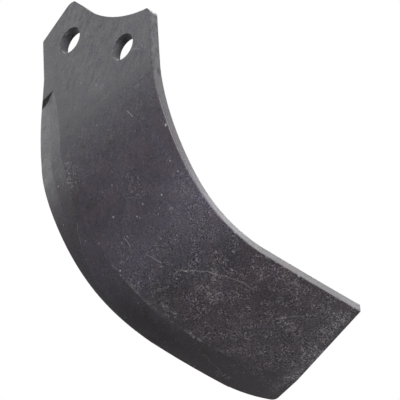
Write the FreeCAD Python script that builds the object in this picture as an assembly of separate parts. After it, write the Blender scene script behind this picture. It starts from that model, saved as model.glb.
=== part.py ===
import FreeCAD, Part
import os
from math import cos, radians, sin, sqrt, tan

# Rotary tiller blade: one flat steel bar, forged to an edge on one side, cut and bent.
# X runs along the line of the two bolt holes, Z points up to the rotor shaft,
# and the outside face of the shank is the plane Y = 0, with the bar behind it.

# Bar and bolt holes
bar_width = 80.0
bar_thickness = 6.0
hole_diameter = 15.5
hole_spacing = 48.0
bar_lean = 36.5              # the bar leans this far from square to the hole line
bar_length = 190.0           # from the bend up, before the head is cut to shape

# Bend across the face of the bar, around a line that lies in the shank
bend_line_angle = 49.0       # from the hole line up to the bend line
bend_start = 40.0            # from the hole centre, measured square to the bend line
bend_angle = 75.0
bend_radius = 90.0           # to the middle of the bar's thickness

# Sweep within the face of the bar, measured on the inner edge laid flat
sweep_start = 105.0
sweep_radius = 193.0
sweep_angle = 20.0
tip_length = 50.5            # straight inner edge between the sweep and the tip
blank_length = 245.0         # before the tip is cut to shape

# Rounding of the bar's front edges, as rolled at the shank and dressed down at the tip,
# and the smaller rounding of its back edge
rolled_radius = 1.2
tip_radius = 0.5
back_radius = 0.4

# Head of the shank: a hollow between two rounded horns, the outer side cut back
notch_radius = 71.0
notch_bottom = 15.6
outer_horn_reach = 24.5      # where the hollow ends, out from its middle
outer_horn_top = (-34.6, 22.4)
outer_horn_round = (-36.9, 21.4)
cut_back_top = (-39.0, 18.8)
cut_back_bottom = (-47.4, -2.4)
inner_horn_reach = 31.0
inner_horn_round = (33.4, 21.6)
inner_horn_end = (35.5, 18.8)

# Forged edge
edge_thickness = 2.0
nose_bulge = 0.2
edge_spread = 0.6            # how far the forging has pushed the whole outer side out
shoulder_start = -9.0
forging_start = 4.0
shoulder_swell = 1.6         # of the front corner where the forging starts
forging_joint = 62.0         # inward limit of the forging on the shank, from the inner edge

# Tip: how far down the square end cut the lower corner starts, and the ground curve below it
corner_start = 71.2
corner_middle = (231.0, -51.2)
corner_end = (229.6, -52.9)
ground_middle = (221.0, -57.5)
ground_end = (208.0, -61.8)

half_thickness = bar_thickness / 2
bar_slope = bend_line_angle - bar_lean
tip_slope = sweep_angle - bar_slope
bend_length = radians(bend_angle) * bend_radius
bend_end = bend_start + bend_length

# The inner edge laid flat, with distances along the blank and heights up the bend line
half_width = bar_width / 2 / cos(radians(bar_slope))
sweep_start_height = half_width - sweep_start * tan(radians(bar_slope))
sweep_centre = sweep_start + sweep_radius * sin(radians(bar_slope))
sweep_centre_height = sweep_start_height + sweep_radius * cos(radians(bar_slope))
sweep_end = sweep_centre + sweep_radius * sin(radians(tip_slope))
sweep_end_height = sweep_centre_height - sweep_radius * cos(radians(tip_slope))

up_bend_line = FreeCAD.Vector(cos(radians(bend_line_angle)), 0, sin(radians(bend_line_angle)))
down_blank = FreeCAD.Vector(sin(radians(bend_line_angle)), 0, -cos(radians(bend_line_angle)))
outward = FreeCAD.Vector(0, -1, 0)
up_the_bar = up_bend_line * sin(radians(bar_slope)) - down_blank * cos(radians(bar_slope))


def inner_edge(along):
    if along < sweep_start:
        return half_width - along * tan(radians(bar_slope))
    if along < sweep_end:
        return sweep_centre_height - sqrt(sweep_radius ** 2 - (along - sweep_centre) ** 2)
    return sweep_end_height + (along - sweep_end) * tan(radians(tip_slope))


def bar_outer_edge(along):
    return -half_width - edge_spread - along * tan(radians(bar_slope))


def joint_line(along):
    return inner_edge(along) - forging_joint / cos(radians(bar_slope))


def carried(shape, along):
    """Stand a flat shape square across the bar on its bend line, around the bend."""
    angle = min(max(along - bend_start, 0.0), bend_length) / bend_radius
    normal = down_blank * sin(angle) + outward * cos(angle)
    onward = down_blank * cos(angle) - outward * sin(angle)
    straight = along - bend_start - angle * bend_radius
    bend_centre = down_blank * bend_start - outward * (half_thickness + bend_radius)
    point = bend_centre + normal * bend_radius + onward * straight
    placed = shape.copy()
    placed.Placement = FreeCAD.Placement(point, FreeCAD.Rotation(up_bend_line, normal, onward, "XYZ"))
    return placed


def at(height, level):
    return FreeCAD.Vector(height, level, 0)


def corner_arc(inner, radius, level):
    """A rounded corner of the inner edge, from the face at this level to the edge."""
    slant = radius * (1 - sqrt(0.5))
    side = 1 if level > 0 else -1
    face_end = at(inner - radius, level)
    edge_end = at(inner, level - side * radius)
    return face_end, at(inner - slant, level - side * slant), edge_end


def rounded_side(along, radius):
    """The bar's rounded inner edge, from the back face to the front face."""
    back_face, back_middle, back_edge = corner_arc(inner_edge(along), back_radius, -half_thickness)
    front_face, front_middle, front_edge = corner_arc(inner_edge(along), radius, half_thickness)
    return [
        Part.Arc(back_face, back_middle, back_edge),
        Part.LineSegment(back_edge, front_edge),
        Part.Arc(front_edge, front_middle, front_face),
    ]


def joint_side(along):
    """A square side on the line where the forged strip joins the plain bar."""
    return [Part.LineSegment(at(joint_line(along), -half_thickness), at(joint_line(along), half_thickness))]


def section(along, inner_side, outer_side):
    """A closed cross-section; outer_side lists height and depth below the front face."""
    curves = list(inner_side)
    start = curves[0].StartPoint
    last = curves[-1].EndPoint
    for height, depth in outer_side:
        point = at(height, half_thickness - depth)
        curves.append(Part.LineSegment(last, point))
        last = point
    nose_end = at(last.x, -half_thickness)
    curves.append(Part.Arc(last, at(last.x - nose_bulge, (last.y - half_thickness) / 2), nose_end))
    curves.append(Part.LineSegment(nose_end, start))
    return carried(Part.Wire([curve.toShape() for curve in curves]), along)


def rounded_outer_side(outer, foot, foot_depth):
    """The bar's rounded front corner, with the side below it running out to its foot."""
    slant = rolled_radius * (1 - sqrt(0.5))
    return [(outer + rolled_radius, 0.0), (outer + slant, slant), (foot, foot_depth)]


def forged_side(outer, long_bevel, edge_bevel, edge_bevel_depth, crease, crease_depth):
    return [
        (outer + long_bevel, 0.0),
        (outer + edge_bevel, edge_bevel_depth),
        (outer + crease, crease_depth),
        (outer, bar_thickness - edge_thickness),
    ]


# Forged sections: the distance along the blank, then the height of the forged edge and how far
# in from it the long bevel, the edge bevel and the crease begin, with the depths of the last
# two below the front face. The edge bevel dies away as the long bevel deepens towards the tip.
step = bend_length / 6
shank_forging = [
    (forging_start, (-48.4, 16.6, 13.6, 0.0, 9.0, 1.1)),
    (22.0, (-53.9, 21.5, 18.5, 0.0, 10.6, 1.3)),
    (bend_start, (-57.7, 22.0, 19.0, 0.0, 10.4, 1.3)),
]
bend_forging = [
    shank_forging[-1],
    (bend_start + step, (-61.0, 22.0, 19.0, 0.0, 9.6, 1.4)),
    (bend_start + step * 2, (-63.5, 21.0, 16.0, 0.05, 7.6, 1.9)),
    (bend_start + step * 3, (-66.0, 20.0, 8.6, 0.6, 4.2, 2.2)),
    (bend_start + step * 4, (-67.7, 19.5, 4.4, 1.9, 2.2, 2.9)),
    (bend_start + step * 5, (-68.0, 18.2, 2.6, 3.0, 1.3, 3.4)),
    (bend_end, (-67.5, 17.0, 2.0, 3.5, 1.0, 3.7)),
]
tip_forging = [
    bend_forging[-1],
    (190.0, (-64.6, 20.0, 2.0, 3.6, 1.0, 3.8)),
    (blank_length, (-54.8, 28.6, 2.0, 3.7, 1.0, 3.85)),
]

# Plain bar: rolled with rounded edges, with room left for the forged strip on its outer side
bar_outer = bar_outer_edge(bend_start)
bar_end = section(
    bend_start,
    rounded_side(bend_start, rolled_radius),
    rounded_outer_side(bar_outer, bar_outer, rolled_radius),
)
bar = Part.Face(bar_end).extrude(up_the_bar * bar_length)
room_corners = [
    (joint_line(shoulder_start), shoulder_start),
    (joint_line(bend_start), bend_start),
    (-bar_width, bend_start),
    (-bar_width, shoulder_start),
]
room_points = [FreeCAD.Vector(height, -bar_thickness, along) for height, along in room_corners]
room_face = Part.Face(Part.makePolygon(room_points + room_points[:1]))
room = carried(room_face.extrude(FreeCAD.Vector(0, bar_thickness * 2, 0)), 0)
bar = bar.cut(room)

# Forged strip on the shank: the swollen shoulder, then the bevels behind their run-out step
plain_outer = bar_outer_edge(shoulder_start)
swollen_outer = bar_outer_edge(forging_start) - shoulder_swell
forged_outer = shank_forging[0][1][0]
plain_side = rounded_outer_side(plain_outer, plain_outer, rolled_radius)
swollen_side = rounded_outer_side(swollen_outer, forged_outer, bar_thickness - edge_thickness)
shoulder_sections = [
    section(shoulder_start, joint_side(shoulder_start), plain_side),
    section(forging_start, joint_side(forging_start), swollen_side),
]
shoulder = Part.makeLoft(shoulder_sections, True, True)
shank_strip = Part.makeLoft(
    [section(along, joint_side(along), forged_side(*sizes)) for along, sizes in shank_forging],
    True,
)

# Bend and tip: whole sections of the bar, carried around the bend line
wing_pieces = []
for forging in (bend_forging, tip_forging):
    wing_sections = []
    for along, sizes in forging:
        share = min((along - bend_start) / bend_length, 1.0)
        radius = rolled_radius + (tip_radius - rolled_radius) * share
        wing_sections.append(section(along, rounded_side(along, radius), forged_side(*sizes)))
    wing_pieces.append(Part.makeLoft(wing_sections, True))
bend, tip = wing_pieces

# Tip outline on the flat tip: a square end cut, a small corner and a curve ground below it
end_along = sweep_end + tip_length * cos(radians(tip_slope))
end_height = inner_edge(end_along)


def on_end_cut(distance):
    along = end_along + distance * sin(radians(tip_slope))
    return along, end_height - distance * cos(radians(tip_slope))


def on_tip(point):
    along, height = point
    return FreeCAD.Vector(height, -bar_thickness, along - bend_end)


ground_out = (bend_end, -bar_width * 1.5)
tip_curves = [
    Part.LineSegment(on_tip(on_end_cut(-bar_width)), on_tip(on_end_cut(corner_start))),
    Part.Arc(on_tip(on_end_cut(corner_start)), on_tip(corner_middle), on_tip(corner_end)),
    Part.Arc(on_tip(corner_end), on_tip(ground_middle), on_tip(ground_end)),
    Part.LineSegment(on_tip(ground_end), on_tip(ground_out)),
    Part.LineSegment(on_tip(ground_out), on_tip((bend_end, bar_width * 1.5))),
    Part.LineSegment(on_tip((bend_end, bar_width * 1.5)), on_tip(on_end_cut(-bar_width))),
]
tip_face = Part.Face(Part.Wire([curve.toShape() for curve in tip_curves]))
tip = tip.common(carried(tip_face.extrude(FreeCAD.Vector(0, bar_thickness * 2, 0)), bend_end))

blade = bar.multiFuse([shoulder, shank_strip, bend, tip])

# Head outline, cut through the shank
margin = 300.0


def in_face(x, z):
    return FreeCAD.Vector(x, -bar_thickness, z)


def in_hollow(x):
    return in_face(x, notch_bottom + notch_radius - sqrt(notch_radius ** 2 - x ** 2))


head_curves = [
    Part.Arc(in_hollow(inner_horn_reach), in_hollow(0), in_hollow(-outer_horn_reach)),
    Part.LineSegment(in_hollow(-outer_horn_reach), in_face(*outer_horn_top)),
    Part.Arc(in_face(*outer_horn_top), in_face(*outer_horn_round), in_face(*cut_back_top)),
    Part.LineSegment(in_face(*cut_back_top), in_face(*cut_back_bottom)),
    Part.LineSegment(in_face(*cut_back_bottom), in_face(-margin, -margin)),
    Part.LineSegment(in_face(-margin, -margin), in_face(margin, -margin)),
    Part.LineSegment(in_face(margin, -margin), in_face(margin, inner_horn_end[1])),
    Part.LineSegment(in_face(margin, inner_horn_end[1]), in_face(*inner_horn_end)),
    Part.Arc(in_face(*inner_horn_end), in_face(*inner_horn_round), in_hollow(inner_horn_reach)),
]
head_face = Part.Face(Part.Wire([curve.toShape() for curve in head_curves]))
blade = blade.common(head_face.extrude(FreeCAD.Vector(0, margin, 0)))

# Bolt holes through the shank
for side in (-1, 1):
    hole_start = FreeCAD.Vector(side * hole_spacing / 2, -bar_thickness, 0)
    hole = Part.makeCylinder(hole_diameter / 2, bar_thickness * 3, hole_start, FreeCAD.Vector(0, 1, 0))
    blade = blade.cut(hole)

os.makedirs("parts", exist_ok=True)
blade.exportStep("parts/blade.step")
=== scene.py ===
import math

import bpy
from mathutils import Matrix, Vector

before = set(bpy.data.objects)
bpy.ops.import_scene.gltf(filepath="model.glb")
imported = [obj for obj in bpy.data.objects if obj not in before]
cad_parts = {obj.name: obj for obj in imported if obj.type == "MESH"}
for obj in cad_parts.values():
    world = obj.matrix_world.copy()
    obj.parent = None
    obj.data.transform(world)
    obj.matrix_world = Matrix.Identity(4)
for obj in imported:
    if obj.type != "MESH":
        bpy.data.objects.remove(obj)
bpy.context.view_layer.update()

# The camera stands in front of the blade, towards its inner edge and a little below it,
# so that the outside of the bend fills the view. Its angles are in degrees.
camera_aim = Vector((0.0481, 0.0662, -0.0552))
camera_azimuth = 52.94
camera_elevation = -8.82
camera_roll = 22.49
camera_distance = 1.374
camera_data = bpy.data.cameras.new("camera")
camera_data.lens = 237.4
camera_data.sensor_width = 36.0
camera = bpy.data.objects.new("camera", camera_data)
camera.matrix_world = (
    Matrix.Translation(camera_aim)
    @ Matrix.Rotation(math.radians(camera_azimuth), 4, "Z")
    @ Matrix.Rotation(math.radians(90.0 - camera_elevation), 4, "X")
    @ Matrix.Rotation(math.radians(camera_roll), 4, "Z")
    @ Matrix.Translation((0.0, 0.0, camera_distance))
)
bpy.context.scene.collection.objects.link(camera)
bpy.context.scene.camera = camera

# A pale floor well below the blade, which hangs as it would on its rotor. To the eye, and in
# gloss or glass, the floor is nearly white. As a source of light it is only a dim grey.
floor_size = 12.0
floor_level = -0.5
floor_grey = (0.12, 0.12, 0.12, 1)
floor_grey_seen = (0.18, 0.18, 0.18, 1)
floor_glow_seen = 0.76
bpy.ops.object.select_all(action="DESELECT")
bpy.ops.mesh.primitive_plane_add(size=floor_size, location=(0, 0, floor_level))
floor = bpy.context.object
floor.name = "floor"


def is_seen(nodes, links):
    ray = nodes.new("ShaderNodeLightPath")
    directly = nodes.new("ShaderNodeMath")
    directly.operation = "MAXIMUM"
    links.new(ray.outputs["Is Camera Ray"], directly.inputs[0])
    links.new(ray.outputs["Is Glossy Ray"], directly.inputs[1])
    at_all = nodes.new("ShaderNodeMath")
    at_all.operation = "MAXIMUM"
    links.new(directly.outputs[0], at_all.inputs[0])
    links.new(ray.outputs["Is Transmission Ray"], at_all.inputs[1])
    return at_all.outputs[0]


floor_paint = bpy.data.materials.new("floor_paint")
floor_paint.use_nodes = True
nodes = floor_paint.node_tree.nodes
links = floor_paint.node_tree.links
paint = nodes["Principled BSDF"]
paint.inputs["Roughness"].default_value = 0.9
paint.inputs["Emission Color"].default_value = (1, 1, 1, 1)
floor_seen = is_seen(nodes, links)
floor_colour = nodes.new("ShaderNodeMix")
floor_colour.data_type = "RGBA"
floor_colour.inputs[6].default_value = floor_grey
floor_colour.inputs[7].default_value = floor_grey_seen
links.new(floor_seen, floor_colour.inputs[0])
links.new(floor_colour.outputs[2], paint.inputs["Base Color"])
floor_glow = nodes.new("ShaderNodeMath")
floor_glow.operation = "MULTIPLY"
floor_glow.inputs[1].default_value = floor_glow_seen
links.new(floor_seen, floor_glow.inputs[0])
links.new(floor_glow.outputs[0], paint.inputs["Emission Strength"])
floor.data.materials.append(floor_paint)

# The room around the floor is white to the eye in the same way, and dim as a source of light.
room_light = 0.05
room_light_seen = 1.0
world = bpy.data.worlds.new("room")
bpy.context.scene.world = world
world.use_nodes = True
nodes = world.node_tree.nodes
links = world.node_tree.links
background = nodes["Background"]
background.inputs["Color"].default_value = (1, 1, 1, 1)
room_strength = nodes.new("ShaderNodeMapRange")
room_strength.inputs["To Min"].default_value = room_light
room_strength.inputs["To Max"].default_value = room_light_seen
links.new(is_seen(nodes, links), room_strength.inputs["Value"])
links.new(room_strength.outputs["Result"], background.inputs["Strength"])

# Four soft boxes around the blade: the key high on the side of its inner edge, one above and
# behind it, one close to the head, and one low on the side of its cutting edge.
blade_middle = Vector((0.035, 0.05, -0.06))
for lamp_name, direction, distance, width, brightness in (
    ("key_lamp", (0.74, -0.33, 0.59), 0.70, 0.5, 6.1),
    ("top_lamp", (-0.49, 0.59, 0.64), 1.60, 0.9, 1.05),
    ("head_lamp", (-0.74, -0.52, 0.42), 0.45, 0.25, 0.42),
    ("side_lamp", (-0.90, -0.38, -0.19), 1.60, 0.9, 0.90),
):
    away = Vector(direction).normalized()
    lamp_data = bpy.data.lights.new(lamp_name, "AREA")
    lamp_data.shape = "DISK"
    lamp_data.size = width
    lamp_data.energy = brightness * math.pi * distance ** 2
    lamp = bpy.data.objects.new(lamp_name, lamp_data)
    lamp.location = blade_middle + away * distance
    lamp.rotation_euler = away.to_track_quat("Z", "Y").to_euler()
    lamp.visible_camera = False
    bpy.context.scene.collection.objects.link(lamp)

# The blade: one piece of 80 by 6 mm spring-steel bar, sheared at the head, punched with two bolt
# holes, drawn down to a cutting edge and bent hot to one side. It was then hardened, and dipped in
# a thin black coat that shows the forging scale, the handling scuffs and the dust on it.
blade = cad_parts["blade"]
black_coat = bpy.data.materials.new("black_coat")
black_coat.use_nodes = True
nodes = black_coat.node_tree.nodes
links = black_coat.node_tree.links
coat = nodes["Principled BSDF"]
coat.inputs["Specular IOR Level"].default_value = 0.25


def place_input(socket, given):
    if isinstance(given, bpy.types.NodeSocket):
        links.new(given, socket)
    else:
        socket.default_value = given


def reckon(operation, *given, clamp=False):
    step = nodes.new("ShaderNodeMath")
    step.operation = operation
    step.use_clamp = clamp
    for socket, value in zip(step.inputs, given):
        place_input(socket, value)
    return step.outputs[0]


def reckon_place(operation, *given, result="Vector"):
    step = nodes.new("ShaderNodeVectorMath")
    step.operation = operation
    for socket, value in zip(step.inputs, given):
        place_input(socket, value)
    return step.outputs[result]


def fade(value, start, end, at_start=0.0, at_end=1.0):
    step = nodes.new("ShaderNodeMapRange")
    step.interpolation_type = "SMOOTHSTEP"
    place_input(step.inputs["Value"], value)
    place_input(step.inputs["From Min"], start)
    place_input(step.inputs["From Max"], end)
    place_input(step.inputs["To Min"], at_start)
    place_input(step.inputs["To Max"], at_end)
    return step.outputs["Result"]


def mottle(where, scale, detail=2.0, roughness=0.5, distortion=0.0, result="Fac"):
    step = nodes.new("ShaderNodeTexNoise")
    links.new(where, step.inputs["Vector"])
    step.inputs["Scale"].default_value = scale
    step.inputs["Detail"].default_value = detail
    step.inputs["Roughness"].default_value = roughness
    step.inputs["Distortion"].default_value = distortion
    return step.outputs[result]


def tint(amount, under, over, blend="MIX"):
    step = nodes.new("ShaderNodeMix")
    step.data_type = "RGBA"
    step.blend_type = blend
    place_input(step.inputs[0], amount)
    place_input(step.inputs[6], under)
    place_input(step.inputs[7], over)
    return step.outputs[2]


# Places on the coat are measured as on the straight bar before it was bent, in millimetres from
# the middle between the bolt holes: "along" runs down the bar towards the tip, and "height" across
# it towards the inner edge, so that the cutting edge lies at about -50 to -68.
lean = math.radians(49.0)
bend_start = 40.0
bend_middle_depth = 93.0
bend_reach = 90.0
bend_angle = math.radians(75.0)
coordinates = nodes.new("ShaderNodeTexCoord")
solid_place = coordinates.outputs["Object"]
split = nodes.new("ShaderNodeSeparateXYZ")
links.new(solid_place, split.inputs[0])
x_mm = reckon("MULTIPLY", split.outputs["X"], 1000.0)
y_mm = reckon("MULTIPLY", split.outputs["Y"], 1000.0)
z_mm = reckon("MULTIPLY", split.outputs["Z"], 1000.0)
down_x = reckon("MULTIPLY", x_mm, math.sin(lean))
down_z = reckon("MULTIPLY", z_mm, math.cos(lean))
downwards = reckon("SUBTRACT", down_x, down_z)
across_x = reckon("MULTIPLY", x_mm, math.cos(lean))
across_z = reckon("MULTIPLY", z_mm, math.sin(lean))
height = reckon("ADD", across_x, across_z)
past_start = reckon("SUBTRACT", downwards, bend_start)
below_middle = reckon("SUBTRACT", bend_middle_depth, y_mm)
turned = reckon("ARCTAN2", past_start, below_middle)
turned = reckon("MINIMUM", reckon("MAXIMUM", turned, 0.0), bend_angle)
onward_down = reckon("MULTIPLY", past_start, math.cos(bend_angle))
onward_back = reckon("MULTIPLY", below_middle, math.sin(bend_angle))
onward = reckon("SUBTRACT", onward_down, onward_back)
along = reckon("MINIMUM", downwards, bend_start)
along = reckon("MULTIPLY_ADD", turned, bend_reach, along)
along = reckon("ADD", along, reckon("MAXIMUM", onward, 0.0))
join = nodes.new("ShaderNodeCombineXYZ")
links.new(along, join.inputs["X"])
links.new(height, join.inputs["Y"])
bar_place = join.outputs[0]

# Slow drifts of colour along the bar: bluish grey on the flat, brown where the bend was hot, grey at the
# tip. Their lightness also holds painted shade down the bend and a painted highlight band near 118
# along.
colour_start = -60.0
colour_end = 240.0
colour_wander = 50.0
drift = mottle(bar_place, 0.035, 3.0, 0.55)
drifting = reckon("MULTIPLY_ADD", reckon("SUBTRACT", drift, 0.5), colour_wander, along)
reach = nodes.new("ShaderNodeMapRange")
links.new(drifting, reach.inputs["Value"])
reach.inputs["From Min"].default_value = colour_start
reach.inputs["From Max"].default_value = colour_end
scale_colour_and_shading = nodes.new("ShaderNodeValToRGB")
links.new(reach.outputs["Result"], scale_colour_and_shading.inputs["Fac"])
ramp = scale_colour_and_shading.color_ramp
ramp.elements.remove(ramp.elements[-1])
for number, (at, shade) in enumerate((
    (-60.0, (0.0740, 0.0730, 0.0790)),
    (20.0, (0.0700, 0.0688, 0.0772)),
    (52.0, (0.0660, 0.0635, 0.0730)),
    (75.0, (0.0685, 0.0600, 0.0715)),
    (98.0, (0.0700, 0.0615, 0.0750)),
    (118.0, (0.0740, 0.0675, 0.0835)),
    (140.0, (0.0675, 0.0600, 0.0700)),
    (170.0, (0.0635, 0.0525, 0.0605)),
    (205.0, (0.0680, 0.0590, 0.0650)),
    (225.0, (0.0860, 0.0800, 0.0860)),
)):
    share = (at - colour_start) / (colour_end - colour_start)
    stop = ramp.elements[0] if number == 0 else ramp.elements.new(share)
    stop.position = share
    stop.color = (*shade, 1)
colour = scale_colour_and_shading.outputs["Color"]

# Darker and paler patches with outlines that wander: some are handling marks, and some are painted shade
# and painted highlight that follow the bend, such as the darker one at 42 along where the bend starts to
# turn and the pale ones at 120 along. Each row gives a patch's middle along and in height, its
# half-sizes, and how much paler it is. They are on both faces.
wander_throw = 18.0
wander = mottle(bar_place, 0.16, 4.0, result="Color")
loose_place = reckon_place("MULTIPLY_ADD", wander, (wander_throw, wander_throw, 0.0), bar_place)


def off_middle(middle_along, middle_height, half_along, half_height):
    thrown_along = middle_along + wander_throw / 2
    thrown_height = middle_height + wander_throw / 2
    in_half_sizes = reckon_place(
        "MULTIPLY_ADD", loose_place, (1.0 / half_along, 1.0 / half_height, 0.0),
        (-thrown_along / half_along, -thrown_height / half_height, 0.0))
    return reckon_place("LENGTH", in_half_sizes, result="Value")


patches_and_painted_shading = 1.0
for middle_along, middle_height, half_along, half_height, paler in (
    (42.0, -30.0, 12.0, 60.0, -0.20), (92.0, -8.0, 13.0, 20.0, -0.12), (82.0, -40.0, 16.0, 14.0, -0.26),
    (120.0, 8.0, 30.0, 20.0, 0.42), (120.0, -30.0, 14.0, 26.0, 0.18), (148.0, 2.0, 9.0, 8.0, -0.25),
    (184.0, -3.0, 12.0, 9.0, -0.30), (140.0, -34.0, 12.0, 12.0, -0.22), (178.0, -46.0, 28.0, 9.0, -0.24),
    (157.0, -18.0, 14.0, 10.0, 0.22), (217.0, 6.0, 10.0, 26.0, 0.34), (226.0, -33.0, 7.0, 20.0, 0.60),
    (30.0, -5.0, 14.0, 12.0, 0.06), (44.0, -62.0, 20.0, 7.0, -0.20), (150.0, -62.0, 32.0, 8.0, -0.40),
    (76.0, -64.0, 30.0, 5.0, 0.20), (192.0, 8.0, 26.0, 7.0, 0.26), (165.0, -57.0, 40.0, 7.0, -0.36),
    (14.0, -55.0, 16.0, 8.0, 0.50), (-10.0, -42.0, 24.0, 12.0, 0.26), (-14.0, 10.0, 24.0, 18.0, -0.12),
    (28.0, 14.0, 16.0, 20.0, -0.10),
):
    distance = off_middle(middle_along, middle_height, half_along, half_height)
    patches_and_painted_shading = reckon("ADD", patches_and_painted_shading, fade(distance, 1.3, 0.1, 0.0, paler))

# The forged bevel starts at a low ridge that runs the length of the blade. Each pair gives a
# place along it and its height there.
ridge_reach = 250.0
ridge_low = -60.0
ridge_span = 50.0
ridge_course = (
    (0.0, -31.0), (40.0, -35.7), (75.0, -43.0), (98.0, -46.5), (120.0, -48.5), (150.0, -48.6),
    (175.0, -47.0), (200.0, -43.0), (224.0, -35.0), (250.0, -23.5),
)
ridge_curve = nodes.new("ShaderNodeFloatCurve")
links.new(reckon("DIVIDE", along, ridge_reach), ridge_curve.inputs["Value"])
ridge_points = ridge_curve.mapping.curves[0].points
ridge_shares = [(at / ridge_reach, (level - ridge_low) / ridge_span) for at, level in ridge_course]
ridge_points[0].location = ridge_shares[0]
for share, level in ridge_shares[1:-1]:
    ridge_points.new(share, level)
ridge_points[-1].location = ridge_shares[-1]
ridge_curve.mapping.update()
ridge = reckon("MULTIPLY_ADD", ridge_curve.outputs["Value"], ridge_span, ridge_low)
above_ridge = reckon("SUBTRACT", height, ridge)

# The sheared inner edge, which carries less scale than the faces, is known by where it faces.
facing = reckon_place(
    "DOT_PRODUCT", coordinates.outputs["Normal"], (math.cos(lean), 0.0, math.sin(lean)), result="Value")
bare = fade(facing, 0.5, 0.85)
not_bare = reckon("SUBTRACT", 1.0, bare)

# Scale and grain: soft clouds, millimetre blotches, long smears on the shank, and a fine tooth
# that is coarser past the bend.
cloud = mottle(bar_place, 0.11, 5.0, 0.62)
blotch = mottle(solid_place, 520.0, 3.0, 0.6)
tooth = mottle(solid_place, 1250.0, 3.0, 0.7)
cluster = mottle(bar_place, 0.14, 4.0, 0.6)
below_limit = fade(along, 160.0, 195.0, -2.5, -13.0)
open_face = reckon("MULTIPLY", fade(above_ridge, below_limit, 2.0), not_bare)
past_bend = fade(along, 95.0, 158.0)
coarse = reckon("MULTIPLY", reckon("MULTIPLY", past_bend, open_face), 3.6)
coarse = reckon("ADD", coarse, fade(along, 95.0, 20.0, 1.1, 1.9))
coarse = reckon("MULTIPLY", coarse, fade(cluster, 0.36, 0.66, 0.4, 1.5))
coarse = reckon("MULTIPLY", coarse, reckon("MULTIPLY_ADD", bare, -0.6, 1.0))
tooth_tone = reckon("POWER", reckon("MULTIPLY", tooth, 2.0), coarse)
stretch = nodes.new("ShaderNodeMapping")
links.new(solid_place, stretch.inputs["Vector"])
stretch.inputs["Scale"].default_value = (1.0, 1.0, 0.4)
smear = mottle(stretch.outputs[0], 380.0, 4.0, 0.65, 0.5)
smeared = reckon("MULTIPLY", fade(along, 90.0, 20.0, 0.35, 2.2), fade(above_ridge, -1.0, 2.0, 0.2, 1.0))
lightness = reckon("MULTIPLY_ADD", reckon("SUBTRACT", cloud, 0.5), 0.7, patches_and_painted_shading)
lightness = reckon("MULTIPLY_ADD", reckon("SUBTRACT", blotch, 0.5), 0.8, lightness)
lightness = reckon("MULTIPLY_ADD", reckon("SUBTRACT", smear, 0.5), smeared, lightness)
lightness = reckon("MULTIPLY", lightness, tooth_tone)
colour = tint(1.0, colour, lightness, "MULTIPLY")
hue = fade(mottle(bar_place, 0.12, 2.0, 0.5), 0.36, 0.64)
warm_hue = (1.03, 1.0, 1.0, 1)
cold_hue = (0.98, 0.985, 1.06, 1)
colour = tint(1.0, colour, tint(hue, warm_hue, cold_hue), "MULTIPLY")

# Dust: fine flecks and short threads, thickest on the blade's tip, and a few coarse bright ones.
fray_throw = 0.0009
dusty = reckon("MULTIPLY", fade(along, 50.0, 170.0, 0.14, 0.9), fade(cluster, 0.40, 0.64, 0.15, 1.5))
dusty = reckon("MULTIPLY", dusty, reckon("MULTIPLY_ADD", bare, -0.8, 1.0))
dusty = reckon("MULTIPLY", dusty, fade(above_ridge, below_limit, 2.0, 0.4, 1.0))
fray = mottle(solid_place, 2600.0, result="Color")
ragged_place = reckon_place("MULTIPLY_ADD", fray, (fray_throw, fray_throw, fray_throw), solid_place)


def flecks(scale, size, share):
    cells = nodes.new("ShaderNodeTexVoronoi")
    links.new(ragged_place, cells.inputs["Vector"])
    cells.inputs["Scale"].default_value = scale
    lot = nodes.new("ShaderNodeSeparateColor")
    links.new(cells.outputs["Color"], lot.inputs[0])
    speck = fade(cells.outputs["Distance"], size, size * 0.3)
    chosen = reckon("LESS_THAN", lot.outputs[0], share)
    strength = reckon("POWER", lot.outputs[1], 3.0)
    return reckon("MULTIPLY", reckon("MULTIPLY", speck, chosen), strength)


fine_share = reckon("MULTIPLY", dusty, fade(along, 80.0, 150.0, 0.06, 0.20))
fine_flecks = flecks(1000.0, 0.62, fine_share)
coarse_flecks = flecks(650.0, 0.40, reckon("MULTIPLY", dusty, 0.035))
threads = reckon("ABSOLUTE", reckon("SUBTRACT", mottle(solid_place, 150.0, 4.0, 0.65, 0.8), 0.5))
threads = reckon("MULTIPLY", fade(threads, 0.014, 0.002), fade(mottle(solid_place, 300.0), 0.50, 0.62))
threads = reckon("MULTIPLY", threads, dusty)
dust = reckon("ADD", reckon("MULTIPLY", fine_flecks, 1.3), reckon("MULTIPLY", coarse_flecks, 1.2))
dust = reckon("ADD", dust, reckon("MULTIPLY", threads, 0.5))

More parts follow.
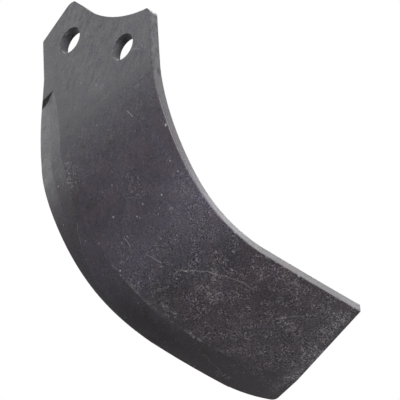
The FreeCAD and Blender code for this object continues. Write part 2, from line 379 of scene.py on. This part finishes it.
# Drifts of packed dust: middle along and in height, half-sizes, and how thick.
packed = 0.0
for middle_along, middle_height, half_along, half_height, thick in (
    (155.0, -21.0, 9.0, 5.5, 0.9), (149.0, -12.0, 9.0, 3.0, 0.5), (170.0, -46.0, 7.0, 2.5, 1.4),
    (201.0, -57.0, 4.0, 2.0, 1.5), (152.0, -44.0, 6.0, 3.0, 0.7), (224.0, -35.0, 4.0, 3.5, 2.0),
    (198.0, -9.0, 8.0, 4.5, 1.1), (208.0, 11.0, 6.0, 3.5, 1.2), (220.0, 7.0, 5.0, 9.0, 1.3),
    (220.0, -16.0, 4.5, 7.0, 1.0), (168.0, 4.0, 4.0, 3.5, 1.0), (226.0, -20.0, 3.5, 14.0, 0.9),
    (225.0, -43.0, 5.0, 6.0, 0.8), (182.0, 12.0, 12.0, 4.0, 0.6), (62.0, -40.0, 12.0, 8.0, 0.5),
    (210.0, -44.0, 14.0, 5.0, 0.45), (190.0, -30.0, 22.0, 14.0, 0.3), (28.0, -6.0, 4.5, 3.5, 0.55),
    (29.0, 28.0, 2.5, 2.5, 0.7), (25.0, 23.0, 2.0, 4.0, 0.5), (14.0, -15.0, 6.0, 5.0, 0.25),
    (90.0, -12.0, 14.0, 10.0, 0.25), (110.0, 12.0, 14.0, 8.0, 0.3),
):
    distance = off_middle(middle_along, middle_height, half_along, half_height)
    packed = reckon("ADD", packed, fade(distance, 1.2, 0.2, 0.0, thick))
flock = fade(mottle(solid_place, 1000.0, 2.0, 0.6), 0.50, 0.60)
flock = reckon("MULTIPLY", flock, fade(mottle(solid_place, 420.0, 2.0, 0.6), 0.42, 0.55))
dust = reckon("MULTIPLY_ADD", flock, packed, dust)

# Scratches through the coat: start and end (along, height), half-width, and how bright.
jitter_throw = 3.0
jitter = reckon_place("MULTIPLY_ADD", wander, (jitter_throw, jitter_throw, 0.0), bar_place)
for (from_along, from_height), (to_along, to_height), half_width, bright in (
    ((140.0, -21.0), (147.0, -14.0), 0.22, 0.5), ((147.0, -14.0), (156.0, -9.0), 0.22, 0.6),
    ((155.0, -9.0), (165.0, -6.0), 0.22, 0.5), ((164.0, -6.0), (172.0, -6.0), 0.2, 0.35),
    ((120.0, -30.0), (129.0, -27.0), 0.2, 0.6), ((57.0, 6.0), (63.0, 8.0), 0.22, 0.5),
    ((85.0, -50.0), (100.0, -58.0), 0.2, 0.18), ((182.0, -54.0), (199.0, -57.0), 0.2, 0.35),
    ((107.0, -33.0), (113.0, -34.0), 0.22, 0.55), ((193.0, -12.0), (208.0, 7.0), 0.2, 0.3),
    ((24.0, 21.0), (30.0, 26.0), 0.35, 0.2), ((44.0, -22.0), (50.0, -25.0), 0.2, 0.2),
):
    run = math.hypot(to_along - from_along, to_height - from_height)
    slant = math.atan2(to_height - from_height, to_along - from_along)
    middle_along = (from_along + to_along) / 2 + jitter_throw / 2
    middle_height = (from_height + to_height) / 2 + jitter_throw / 2
    lay = nodes.new("ShaderNodeMapping")
    lay.vector_type = "TEXTURE"
    links.new(jitter, lay.inputs["Vector"])
    lay.inputs["Location"].default_value = (middle_along, middle_height, 0.0)
    lay.inputs["Rotation"].default_value = (0.0, 0.0, slant)
    laid = nodes.new("ShaderNodeSeparateXYZ")
    links.new(lay.outputs[0], laid.inputs[0])
    line = fade(reckon("ABSOLUTE", laid.outputs["Y"]), half_width * 1.6, half_width * 0.4)
    ends = fade(reckon("ABSOLUTE", laid.outputs["X"]), run / 2 + 0.4, run / 2 - 0.8, 0.0, bright)
    dust = reckon("MULTIPLY_ADD", line, ends, dust)

# Bright spots where a chip of the coat is gone: along, height and half-size.
spots = 0.0
for spot_along, spot_height, spot_size in (
    (49.0, -50.0, 0.6), (62.0, -50.0, 0.5), (140.0, -21.0, 0.6), (183.0, 16.0, 0.7), (16.0, -16.0, 0.4),
    (79.0, 22.0, 0.7), (96.0, -31.0, 0.5), (104.0, -2.0, 0.5), (118.0, -47.0, 0.5),
):
    gap = reckon_place("DISTANCE", bar_place, (spot_along, spot_height, 0.0), result="Value")
    spots = reckon("ADD", spots, fade(gap, spot_size * 1.3, spot_size * 0.5))
dust = reckon("MULTIPLY_ADD", spots, not_bare, dust)

# The ridge of the bevel is worn pale here and there, from the middle of the bend on. All these
# marks go on in one pale grey.
pale_grey = (0.46, 0.45, 0.46, 1)
on_ridge = fade(reckon("ABSOLUTE", above_ridge), 1.1, 0.2)
on_ridge = reckon("MULTIPLY", on_ridge, fade(cluster, 0.44, 0.60, 0.02, 0.22))
dust = reckon("ADD", dust, reckon("MULTIPLY", on_ridge, fade(along, 80.0, 105.0)))
dust = reckon("MINIMUM", dust, 1.0)
colour = tint(reckon("MULTIPLY", dust, 0.85), colour, pale_grey)

# The sheared inner edge is coloured a paler grey than the faces, and paler again towards the tip.
edge_tint = (1.0, 0.985, 1.01, 1)
edge_paleness = reckon("MULTIPLY", lightness, fade(along, 110.0, 165.0, 0.056, 0.112))
edge_colour = tint(1.0, edge_tint, edge_paleness, "MULTIPLY")
colour = tint(reckon("MULTIPLY", bare, 0.65), colour, edge_colour)

# Corners: the coat is rubbed thin and pale in places. Along the sheared outline of the head the corners
# are painted dark, a painted shade where the rounded corner turns away from the light.
corner_width = 0.0009
painted_corner_shade = (0.030, 0.029, 0.031, 1)
rubbed_steel = (0.27, 0.265, 0.27, 1)
corner = nodes.new("ShaderNodeBevel")
corner.samples = 6
corner.inputs["Radius"].default_value = corner_width
surface = nodes.new("ShaderNodeNewGeometry")
turn = reckon_place("DOT_PRODUCT", corner.outputs["Normal"], surface.outputs["Normal"], result="Value")
near_corner = fade(turn, 0.995, 0.90)
rubbed = reckon("MULTIPLY", near_corner, fade(mottle(solid_place, 260.0, 4.0, 0.65), 0.47, 0.66))
on_head = fade(along, 5.0, -15.0)
# Painted shade: a dark line along the corners of the head.
painted_corner_shade_mask = reckon("MULTIPLY", near_corner, reckon("MULTIPLY", on_head, not_bare))
colour = tint(painted_corner_shade_mask, colour, painted_corner_shade)
colour = tint(reckon("MULTIPLY", rubbed, 0.6), colour, rubbed_steel)
links.new(colour, coat.inputs["Base Color"])

# Gloss and relief: the coat is half matt, smoother on the pale patches, rougher under dust, and
# the scale stands up from it by a fraction of a millimetre.
coat_roughness = 0.42
relief_depth = 0.0003
rough = reckon("MULTIPLY_ADD", reckon("SUBTRACT", cloud, 0.5), 0.40, coat_roughness)
rough = reckon("MULTIPLY_ADD", reckon("SUBTRACT", smear, 0.5), reckon("MULTIPLY", smeared, 0.6), rough)
rough = reckon("MULTIPLY_ADD", reckon("SUBTRACT", patches_and_painted_shading, 1.0), -0.15, rough)
rough = reckon("MULTIPLY_ADD", dust, 0.3, rough, clamp=True)
links.new(rough, coat.inputs["Roughness"])
relief = reckon("ADD", reckon("MULTIPLY", blotch, 0.6), reckon("MULTIPLY", tooth, 0.4))
bump = nodes.new("ShaderNodeBump")
bump.inputs["Strength"].default_value = 0.5
bump.inputs["Distance"].default_value = relief_depth
links.new(relief, bump.inputs["Height"])
links.new(bump.outputs["Normal"], coat.inputs["Normal"])
blade.data.materials.clear()
blade.data.materials.append(black_coat)

bpy.context.scene.view_settings.view_transform = "Standard"
